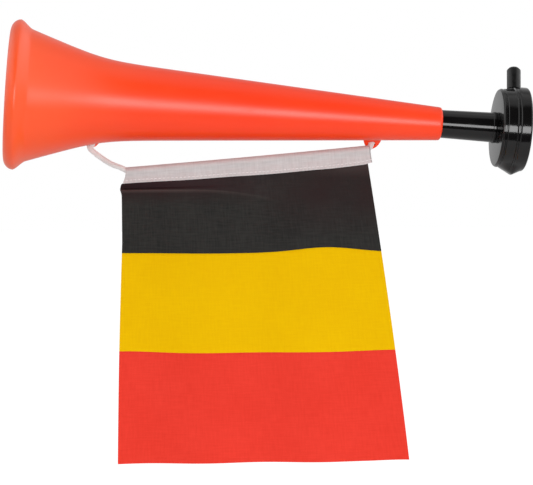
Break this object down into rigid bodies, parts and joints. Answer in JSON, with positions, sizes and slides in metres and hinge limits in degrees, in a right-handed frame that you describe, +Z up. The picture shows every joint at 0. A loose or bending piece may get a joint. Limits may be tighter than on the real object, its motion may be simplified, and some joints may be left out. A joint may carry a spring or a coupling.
{
  "type": "stadium horn",
  "caption": "Mouth-blown stadium horn: a plastic trumpet with a membrane drum, a side blow tube and a small cloth flag on a cord.",
  "frame": {"origin": "on the trumpet's axis in the middle of the hand that holds the horn, 26 mm before the end of the neck", "axes": "+X level towards the drum, with the trumpet's axis 4.2 degrees below it; +Y away from the viewer; +Z up"},
  "size_m": [0.3649, 0.103, 0.3093],
  "materials": {
    "orange_plastic": "satin, moulded",
    "black_plastic": "polished, moulded",
    "clear_film": "smooth film",
    "white_cord": "braided",
    "white_tape": "woven tape",
    "black_cloth": "woven",
    "yellow_cloth": "woven",
    "red_cloth": "woven"
  },
  "bodies": {
    "trumpet": {"horn_body": "orange_plastic", "flag_cord": "white_cord"},
    "head": {"neck_tube": "black_plastic", "drum_body": "black_plastic", "blow_tube": "black_plastic", "membrane": "clear_film"},
    "ring": {"pressure_ring": "black_plastic"},
    "cap": {"drum_cap": "black_plastic"},
    "flag": {"flag_sleeve": "white_tape", "flag_black_strip": "black_cloth", "flag_yellow_strip": "yellow_cloth", "flag_red_strip": "red_cloth"}
  },
  "joints": [
    {"name": "head_turn", "type": "hinge", "parent": "trumpet", "child": "head", "pos_m": [0.02593, 0, -0.0019], "axis": [0.9973, 0, -0.0732], "continuous": true},
    {"name": "ring_travel", "type": "slide", "parent": "head", "child": "ring", "axis": [0.9973, 0, -0.0732], "range_m": [0, 0.0018]},
    {"name": "cap_turn", "type": "hinge", "parent": "ring", "child": "cap", "pos_m": [0.07479, 0, -0.00549], "axis": [0.9973, 0, -0.0732], "range_deg": [0, 540]},
    {"name": "flag_swing", "type": "hinge", "parent": "trumpet", "child": "flag", "pos_m": [-0.1951, 0.01847, -0.03382], "axis": [0.9954, -0.0453, 0.0838], "range_deg": [-85, 85]}
  ],
  "couplings": [
    {"joint": "ring_travel", "follows": "cap_turn", "m_per_rad": 0.00019099}
  ]
}
